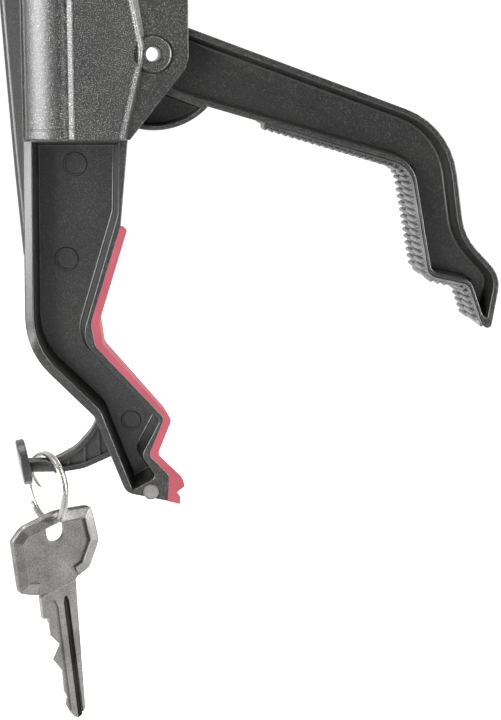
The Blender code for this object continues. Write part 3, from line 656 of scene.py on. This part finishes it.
BULGE_R = 14.0
BULGE = (-24.2, -3.9)                   # axis of the bulge over the rod, x and y
HUMP_BACK = -12.6                       # the raised front is sunk into the flat shell to here
HUMP_FADE = 9.0                         # the bulge fades out over this height below HUMP_TOP
HUMP_TOP = 59.5
SCORE = (-19.08, -18.77)                # shallow line across the raised front near its foot
SCORE_DEPTH = 0.12
# left to right: outer side, bulge, valley and the ridge beside the flat top, as (x, y)
HUMP_PROFILE = [(-33.45, HUMP_BACK), (-33.45, -13.9), (-33.2, -14.35), (-32.8, -14.78), (-32.4, -14.86),
                (-32.0, -14.9)]
HUMP_PROFILE += [(x / 10, BULGE[1] - math.sqrt(BULGE_R ** 2 - (x / 10 - BULGE[0]) ** 2))
                 for x in range(-318, -238, 6)]
HUMP_PROFILE += [(-23.4, -17.8), (-22.9, -17.62), (-22.5, -17.42), (-22.1, -17.27), (-21.7, -17.22),
                 (-21.45, -17.3), (-21.1, -17.45), (-20.8, -17.6), (-20.64, -17.64), (-20.5, -17.56),
                 (-20.4, -17.38), (-20.32, -17.18), (-20.2, -17.04), (-19.9, -17.0)]
HUMP_EDGE = [(-7.9, -21.6), (-2.6, 0.6, 6), (-11.6, 46, 8), (-13.6, 60.0)]


def edge_at(z):
    """Right edge of the hump's flat top at a height."""
    points = rounded(HUMP_EDGE, False)
    for (x0, z0), (x1, z1) in zip(points, points[1:]):
        if z0 <= z <= z1:
            return x0 + (x1 - x0) * (z - z0) / (z1 - z0)
    return points[-1][0]


def hump_section(z):
    """Cross-section of the cover's raised front: rounded bulge, valley, flat top and bevelled side."""
    fade = ease((HUMP_TOP - z) / HUMP_FADE)
    low = SCORE_DEPTH if SCORE[0] <= z <= SCORE[1] else 0.0
    right = edge_at(z)
    wall = right + 0.5 + 0.45 * held(z / 12.0)      # the side is less steep above the pivot
    side = [(right - 1.3, -17.0), (right - 1.12, -17.12), (right - 0.92, -17.06), (right - 0.55, -16.8),
            (right - 0.47, -16.86), (right - 0.35, -16.84), (right + 0.05, -16.5), (right + 0.2, -16.25),
            (wall + 0.5, -14.7), (wall + 0.5, HUMP_BACK)]
    left = []
    for x, y in HUMP_PROFILE:
        raised = y < -14.9
        left.append((x, y * fade - SHELL_OUT * (1 - fade) + low if raised else y))
    return left + [(-14.0, -17.0)] + side


def cover():
    """Front shell: flat field, and the raised front with its dimple beside the boss."""
    plate = bmesh.new()
    slab(plate, poly(CHEEK), -SHELL_OUT, -SHELL_IN, 0.3, holes=[disc(0, 0, 3.45)])
    hump = bmesh.new()
    lip = [(-21.6, 0.42), (-21.56, 0.22), (-21.42, 0.06), (-21.2, -0.03), (-20.9, -0.03), (-20.6, 0.0)]
    tail = [(58.6, 0.0), (59.3, 0.12), (59.75, 0.4), (60.0, 0.9)]
    body = [-19.2, *SCORE, -18.65] + [z * 2.0 for z in range(-9, 30)]
    rings = []
    for z, drop in lip + [(z, 0.0) for z in body] + tail:
        rings.append([hump.verts.new((x, y if y == HUMP_BACK else min(HUMP_BACK, y + drop), z))
                      for x, y in hump_section(z)])
    tube(hump, rings)
    cutter = bmesh.new()
    dimple = arc(5.0, 136, 224, 20) + [(-4.05, -2.5), (-3.75, 0), (-4.05, 2.5)]
    slab(cutter, plain(dimple), -20.0, -16.1, 0)
    hump = carved(hump, cutter)
    cutter = bmesh.new()
    lathe(cutter, [(0, -10.0), (2.7, -10.0), (2.7, -20.0), (0, -20.0)], "Y", (0, 0, 0), 96)
    groove = bmesh.new()
    lathe(groove, [(4.3, -14.3), (5.0, -14.3), (5.0, -20.0), (4.3, -20.0)], "Y", (0, 0, 0), 64)
    return merged(carved(plate, groove), carved(hump, cutter))


def pivot_pin():
    """Hollow rivet whose flange is the round boss on the cover."""
    bm = bmesh.new()
    profile = [(1.95, -14.9), (2.1, -15.3), (2.2, -15.52), (2.3, -15.6), (4.1, -15.6), (4.3, -15.72),
               (4.5, -15.6), (4.5, -15.1), (3.2, -15.1), (3.2, 15.1), (4.5, 15.1), (4.5, 15.9), (4.3, 16.2),
               (4.1, 16.3), (2.2, 16.3), (2.0, 16.25), (1.85, 16.05)]
    lathe(bm, profile, "Y", (0, 0, 0), 64)
    return bm


def magnet():
    """Round magnet with a fine rim round its face."""
    bm = bmesh.new()
    lathe(bm, [(0, -12.1), (1.72, -12.1), (1.8, -12.03), (1.88, -12.22), (2.02, -12.22), (2.1, -12.05),
               (2.1, 10.0), (1.9, 10.2), (0, 10.2)], "Y", (-1.8, 0, -115.2), 48)
    return bm


PAD_INNER = [(-9.0, -44.5), (-16.9, -69.2, 6), (-15.9, -75.4, 4), (2.0, -95.1, 1.5), (-2.1, -105.1, 1.5),
             (3.2, -110.7, 1), (2.9, -117.9)]
PAD_OUTER = [(-8.3, -43.9), (-7.2, -44.9, 1.0), (-14.8, -69.0, 4), (-13.8, -75.4, 3), (4.0, -95.5, 1.9),
             (0.15, -104.9, 1.7), (6.6, -111.4, 2.0), (7.35, -113.9, 0.9), (5.2, -115.5, 0.35),
             (6.05, -116.7, 0.7), (6.0, -118.7)]
PAD_HALF = 11.9                         # half depth of both grip strips
PAD_ROUND = 0.3


def red_pad():
    """Moulded strip on the fixed jaw: rounded top, sharp elbow and a lobed lip at the tip."""
    top, elbow, knee, notch, tip = GRIP_LEAN
    inner = shifted(PAD_INNER, -0.3, False)
    (x0, z0), (x1, z1) = inner[5][:2], inner[6]
    lip = [(x0 + (x1 - x0) * t, z0 + (z1 - z0) * t, 0.1) for t in (0.35, 0.6, 0.8)]
    inner = [inner[0], (inner[0][0] - 0.4, inner[0][1] - 1.3, 0.1)] + inner[1:6] + lip + inner[6:]
    moves = [top, top, None, elbow, knee, notch] + [tip] * 5
    bm = bmesh.new()
    rows = []
    rear_outer = leaned(PAD_OUTER, moves)
    for outline, y in ((inner, -PAD_HALF), (shifted(PAD_OUTER, -PAD_ROUND, False), -PAD_HALF),
                       (shifted(PAD_OUTER, -0.09, False), 0.09 - PAD_HALF), (PAD_OUTER, PAD_ROUND - PAD_HALF),
                       (rear_outer, PAD_HALF - PAD_ROUND), (shifted(rear_outer, -PAD_ROUND, False), PAD_HALF),
                       (leaned(inner, moves), PAD_HALF)):
        rows.append(ring_of(bm, track(outline), y))
    skin(bm, rows + rows[:1], closed=False)
    for end in (0, -1):
        bm.faces.new([row[end] for row in rows])
    bmesh.ops.remove_doubles(bm, verts=bm.verts, dist=1e-4)
    bmesh.ops.dissolve_degenerate(bm, edges=bm.edges, dist=1e-4)
    return bm


ARM_FLOORS = (-5.0, -1.5)               # floors of the moving jaw's front and rear channels


def arm():
    """Moving jaw: channelled arm, sector plate, hub and slotted lever."""
    bm = bmesh.new()
    front_floor, rear_floor = ARM_FLOORS
    walls = inset(ARM, ARM_WALLS)
    outline = [(3.2, 8.81)] + ARM[1:10] + [(3.4, -9.75)] + arc(5.2, -58, 50, 9)
    channel = [(8.6, 4.9)] + walls[1:10] + [(3.6, -8.2), (7.8, -4.0)]
    slab(bm, poly(outline), -HALF, HALF, 0.35, front=[(poly(channel), front_floor, 0.6, 1.0)],
         rear=[(poly(channel), rear_floor, 0.3, 0.5)])
    sector = bmesh.new()
    rim = [(-4.0, -7.0)] + arc(19.3, -120, -44, 18) + [(13.0, -12.2), (10.5, -11.6)]
    hollow = [(-2.6, -7.9)] + arc(18.1, -114.8, -48.5, 18) + [(10.2, -12.9)]
    slab(sector, plain(rim), -HALF, HALF, 0.3, front=[(plain(hollow), front_floor, 0.3, 0.3)],
         rear=[(plain(hollow), rear_floor, 0.3, 0.3)])
    hub = bmesh.new()
    lathe(hub, [(3.5, -11.7), (3.8, -12.0), (5.7, -12.0), (6.0, -11.7), (6.0, 11.7), (5.7, 12.0), (3.8, 12.0),
                (3.5, 11.7)], "Y", (0, 0, 0), 48)
    lever = bmesh.new()
    slab(lever, lever_outline(4.6, 0.0, 12.0), -2.5, 2.5, 0.3,
         holes=[lever_outline(2.15, 10.5, 12.45), disc(0, 0, BORE_R)])
    return merged(bm, sector, hub, lever)


def lever_outline(half, near, far):
    """Round-ended outline from near to far, aimed half the jaw's travel below the tube's side."""
    angle = math.pi + math.radians(CLOSING / 2)

    def ring(d=0.0):
        points = []
        for centre, start in ((far, -90), (near, 90)):
            for i in range(9):
                a = math.radians(start + 22.5 * i)
                x, z = centre + (half - d) * math.cos(a), (half - d) * math.sin(a)
                points.append((x * math.cos(angle) - z * math.sin(angle),
                               x * math.sin(angle) + z * math.cos(angle)))
        return points
    return ring


def walk(points, spacing, start, stop):
    """Places at equal spacing along an open path: (point, direction)."""
    placed, run, want = [], 0.0, start
    total = sum(math.dist(a, b) for a, b in zip(points, points[1:]))
    for a, b in zip(points, points[1:]):
        size = math.dist(a, b)
        while want <= run + size and want <= total - stop:
            t = (want - run) / size
            placed.append(((a[0] + (b[0] - a[0]) * t, a[1] + (b[1] - a[1]) * t),
                           ((b[0] - a[0]) / size, (b[1] - a[1]) / size)))
            want += spacing
        run += size
    return placed


TOOTH_PITCH = 1.85
TOOTH_HALF, TOOTH_FOOT = 0.62, 0.35     # half width, and height of its straight sides
TOOTH_ENDS = ((0.0, 0.35, 0.25), (0.25, 0.72, 0.6), (0.8, 0.95, 0.9), (1.7, 1.0, 1.0))
TOOTH_ROWS = ((-11.6, -0.5), (0.5, 11.6))


def toothed_pad():
    """Strip with two staggered rows of rounded ribs across the moving jaw's grip."""
    bm = bmesh.new()
    path = [(28.6, -17.4), (67.2, -28.8, 8), (72.5, -57.7, 3), (83.2, -60.1, 3), (87.3, -71.4)]
    near = rounded(shifted(path, -0.15, False), False)
    base = rounded(shifted(path, -0.75, False), False)
    slab(bm, plain(near + base[::-1]), -PAD_HALF, PAD_HALF, 0.12)
    angles = [math.radians(a) for a in range(22, 176, 22)]
    section = [(TOOTH_HALF, 0.0)] + [(TOOTH_HALF * math.cos(a), TOOTH_FOOT + math.sin(a)) for a in angles]
    section.append((-TOOTH_HALF, 0.0))
    for row, (y0, y1) in enumerate(TOOTH_ROWS):
        # where along its length a tooth has which share of its width and height
        stations = [(y0 + run, width, height) for run, width, height in TOOTH_ENDS]
        stations += [(y1 - run, width, height) for run, width, height in TOOTH_ENDS[::-1]]
        for (x, z), (ux, uz) in walk(base, TOOTH_PITCH, 0.8 + row * TOOTH_PITCH / 2, 0.9):
            along, out = Vector((ux, 0, uz)), Vector((uz, 0, -ux))
            tube(bm, [[bm.verts.new(Vector((x, y, z)) + along * (u * width) + out * (v * height - 0.15))
                       for u, v in section] for y, width, height in stations])
    return bm


# ---------------------------------------------------------------- ring and key, about their hinges
WIRE_R = 0.56
WIRE_APART = 0.58                       # each turn's distance from the ring's middle plane
WOUND, TAIL = 700, 33                   # degrees of wire in all, and at its free end


def split_ring():
    """Two turns of flattened wire with a free tail."""
    bm = bmesh.new()
    centre = Vector((0, 0, 0.65 - RING_R))
    section = []
    for a in (2 * math.pi * i / 12 for i in range(12)):
        radius = WIRE_R * (1 + 0.1 * math.cos(4 * a))
        section.append((radius * math.cos(a), radius * math.sin(a)))
    frames = []
    count = 160
    for i in range(count + 1):
        t = i / count
        turn = math.radians(t * WOUND - 15)
        free = max(0.0, 1.0 - t * WOUND / TAIL)
        across = WIRE_APART - 2 * WIRE_APART * ease((t - 0.40) / 0.2) + 2.5 * free ** 1.6
        out = Vector((0, math.cos(turn), math.sin(turn)))
        end = 0.78 if i in (0, count) else 1.0
        frames.append((centre + out * RING_R + Vector((across, 0, 0)), out, Vector((1, 0, 0)), end))
    sweep(bm, frames, section)
    return bm


KEY_SLIDE = Vector((1.4, -2.2, 0.0))    # where the key rests on the ring, from the ring's lowest point
KEY_RISE = 2.05                         # height of the hinge above the outlines' zero
BOW = [(-12.3, 0.6, 2), (-9.0, 3.6, 5), (0.5, 5.6, 10), (11.6, 4.6, 3), (12.9, -6.0, 6), (9.0, -13.0, 3),
       (4.3, -15.0, 1.5), (4.2, -17.0), (-6.4, -17.0), (-12.2, -15.2, 3)]
BLADE = [(4.28, -15.2), (4.0, -20.5), (2.5, -52.8, 1.5), (0.6, -55.0, 1), (-1.0, -54.4, 1),
         (-2.9, -50.4, 0.3), (-2.2, -48.2), (-2.9, -46.2), (-2.7, -40.2), (-4.9, -36.4), (-2.4, -32.6),
         (-4.8, -29.2), (-5.0, -23.8), (-6.6, -23.6), (-6.6, -17.6, 0.8), (-6.0, -16.9)]
KEY_SLOT = [(-0.2, -20.6), (0.6, -17.4, 0.5), (1.5, -20.6), (1.7, -58.0), (0.0, -58.0)]
KEY_STEP = [(-4.5, -22.6), (-3.4, -17.4, 0.6), (-1.9, -21.6), (-1.7, -58.0), (-7.5, -58.0), (-7.5, -25.5),
            (-4.5, -25.5)]              # milled away beside the cuts


def key_set(bm):
    """Key parts are drawn about the bow's middle and moved to the hinge."""
    bm.transform(Matrix.Translation((0, 0, -KEY_RISE)))
    return bm


def key():
    """Flat key: wide faceted border of the head, and a milled, cut blade."""
    border = bmesh.new()
    path = [(5.4, -14.4), (9.0, -13.0, 3), (12.9, -6.0, 6), (11.6, 4.6, 3), (0.5, 5.6, 10), (-9.7, 3.5, 5),
            (-13.2, 0.3, 2), (-12.9, -15.0, 3), (-7.4, -16.2)]
    # distance in from the outline, and height of the face there
    half = [(0.0, 0.3), (0.1, 0.55), (0.5, 1.0), (0.65, 0.97), (2.8, 1.66), (2.95, 1.78), (3.15, 1.78),
            (3.28, 1.6), (3.36, 0.6)]
    profile = [(d, -h) for d, h in half] + [(d, h) for d, h in half[::-1]]
    # the facets inside the rim have tighter corners than the rim itself
    sharp = [corner[:2] + (max(0.16, corner[2] - 2.6),) if len(corner) == 3 else corner for corner in path]
    tracks = [track(shifted(path if d < 0.5 else sharp, d, False)) for d, _ in profile]
    tube(border, [[border.verts.new((x, h, z)) for (x, z), (_, h) in zip(points, profile)]
                  for points in zip(*tracks)])
    blade = bmesh.new()
    slab(blade, poly(BLADE), -1.0, 1.0, 0.12)
    for side in (-1, 1):
        for groove in (KEY_SLOT, KEY_STEP):
            cutter = bmesh.new()
            slab(cutter, poly(groove), *sorted((side * 0.35, side * 3.0)), 0.1)
            blade = carved(blade, cutter)
    return key_set(merged(border, blade))


def key_panel():
    """Sunk middle of the key's head, with the ring's hole."""
    bm = bmesh.new()
    slab(bm, poly(inset(BOW, 0.2)), -0.85, 0.85, 0.15,
         holes=[lambda d=0.0: [(x, z + 0.2) for x, z in upright_slot(2.7 - d, 0.6)]])
    return key_set(bm)


def key_slot_shade():
    """Dark sheet laid on the floor of the milled slot, on both sides: painted shade."""
    bm = bmesh.new()
    for side in (-1, 1):
        strip = inset(KEY_SLOT[:3] + [(1.62, -54.6), (0.02, -55.4)], 0.05)
        slab(bm, poly(strip), *sorted((side * 0.3, side * 0.42)), 0.03)
    return key_set(bm)


def upright_slot(radius, half, steps=12):
    """Upright hole with round ends whose centres are half above and below its middle."""
    points = [(radius * math.cos(math.pi * i / steps), half + radius * math.sin(math.pi * i / steps))
              for i in range(steps + 1)]
    return points + [(-x, -z) for x, z in points]


# ---------------------------------------------------------------- assembly
shell = merged(fixed_jaw(), barrel(), core(), rear_cheek(), hook())
piece(shell, "head_shell", "frame", BLACK, ["head_body"])
piece(cover(), "head_front_cover", "frame", BLACK, ["head_cover"])
piece(pivot_pin(), "pivot_rivet", "frame", BLACK, ["jaw_pivot_pin"])
piece(magnet(), "magnet_disc", "frame", MAGNET, ["tip_magnet"])
piece(red_pad(), "grip_strip_red", "frame", RED, ["fixed_jaw_pad"])
piece(arm(), "jaw_arm", "jaw", BLACK, ["moving_jaw"])
piece(toothed_pad(), "jaw_arm_teeth", "jaw", TEETH, ["moving_jaw_pad"],
      smooth=math.radians(50))
ring_place = Matrix.Translation(RING_HINGE) @ Matrix.Rotation(RING_TURN, 4, "Z")
piece(split_ring(), "split_ring", "ring", WIRE, ["key_ring"], ring_place, math.radians(60))
key_place = Matrix.Translation(KEY_HINGE + KEY_SLIDE) @ Euler((0, -KEY_LEAN, KEY_TURN)).to_matrix().to_4x4()
piece(key(), "door_key", "hung_key", NICKEL, ["key"], key_place)
piece(key_panel(), "door_key_panel", "hung_key", PANEL, [], key_place)
# painted shade in the key's milled slot
piece(key_slot_shade(), "door_key_slot_shade", "hung_key", SLOT_SHADE, [], key_place)

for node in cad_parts.values():    # every CAD node that no piece stands for is drawn in black plastic
    if not node.hide_render:
        for material_slot in node.material_slots:
            material_slot.material = BLACK

# ---------------------------------------------------------------- floor, light and camera
FLOOR_GAP = 0.03                        # between the lowest point and the floor
FLOOR_LINES = (-8.0, -1, 0, 1, 8.0)
floor_z = cad_box[0][2] - FLOOR_GAP
floor = bmesh.new()
rows = [[floor.verts.new((x, y, floor_z)) for y in FLOOR_LINES] for x in FLOOR_LINES]
skin(floor, rows, closed=False)
stage_mesh = bpy.data.meshes.new("studio_floor")
floor.to_mesh(stage_mesh)
floor.free()
stage_mesh.shade_smooth()
studio = bpy.data.objects.new("studio_floor", stage_mesh)
bpy.context.scene.collection.objects.link(studio)
pale = Finish("floor_pale", (0.9, 0.9, 0.9), 0.9, specular=0.1)
pale.bump(pale.noise(40), 0.0002, 0.1)
behind = pale.along("Y", -0.15, 0.12)               # painted light: the floor is near white behind the object and grey in front of it
pale.colour(pale.ramp(behind, [(0.0, grey(0.42)), (1.0, grey(0.9))]))
# painted light: the floor glows behind the object though it is no lamp
glow = pale.ramp(behind, [(0.0, grey(0)), (1.0, grey(0.55))])
pale.link(glow, pale.shader.inputs["Emission Color"])
pale.shader.inputs["Emission Strength"].default_value = 1.0
stage_mesh.materials.append(pale.material)

world = bpy.data.worlds.new("studio")
world.use_nodes = True
tree = world.node_tree
coords = tree.nodes.new("ShaderNodeTexCoord")
axes = tree.nodes.new("ShaderNodeSeparateXYZ")
spread = tree.nodes.new("ShaderNodeMapRange")       # white behind the object, dimmer in front of it
spread.inputs["From Min"].default_value = -0.4
spread.inputs["From Max"].default_value = 0.7
spread.inputs["To Min"].default_value = 0.20
spread.inputs["To Max"].default_value = 1.05
tree.links.new(coords.outputs["Generated"], axes.inputs["Vector"])
tree.links.new(axes.outputs["Y"], spread.inputs["Value"])
tree.links.new(spread.outputs["Result"], tree.nodes["Background"].inputs["Strength"])
tree.nodes["Background"].inputs["Color"].default_value = (1, 1, 1, 1)
bpy.context.scene.world = world


def aim(location, target):
    """Rotation of a light or camera that points from one place to another."""
    return (Vector(target) - Vector(location)).to_track_quat("-Z", "Y").to_euler()


def area_light(name, location, target, size, power):
    data = bpy.data.lights.new(name, "AREA")
    data.shape = "RECTANGLE"
    data.size, data.size_y = size
    data.energy = power
    light = bpy.data.objects.new(name, data)
    light.location = location
    light.rotation_euler = aim(location, target)
    bpy.context.scene.collection.objects.link(light)


FOCUS = Vector((0.04, 0.0, -0.54))      # what the lights point at
area_light("key_light", (-0.74, -0.84, -0.30), FOCUS, (0.62, 0.9), 19)
area_light("top_light", (-0.1, -0.1, 0.5), FOCUS, (0.6, 0.6), 5)
area_light("side_light", (0.95, -0.32, -0.35), FOCUS, (0.25, 0.8), 14)

CAMERA_AT = Vector((0.0168, -0.449, -0.4716))
CAMERA_TO = Vector((0.0519, -0.012, -0.5517))
camera_data = bpy.data.cameras.new("camera")
camera_data.lens = 84.1
camera_data.sensor_width = 36
camera_data.clip_start = 0.01
camera_data.clip_end = 20
camera = bpy.data.objects.new("camera", camera_data)
camera.location = CAMERA_AT
camera.rotation_euler = aim(CAMERA_AT, CAMERA_TO)
bpy.context.scene.collection.objects.link(camera)
bpy.context.scene.camera = camera
bpy.context.scene.view_settings.view_transform = "Standard"
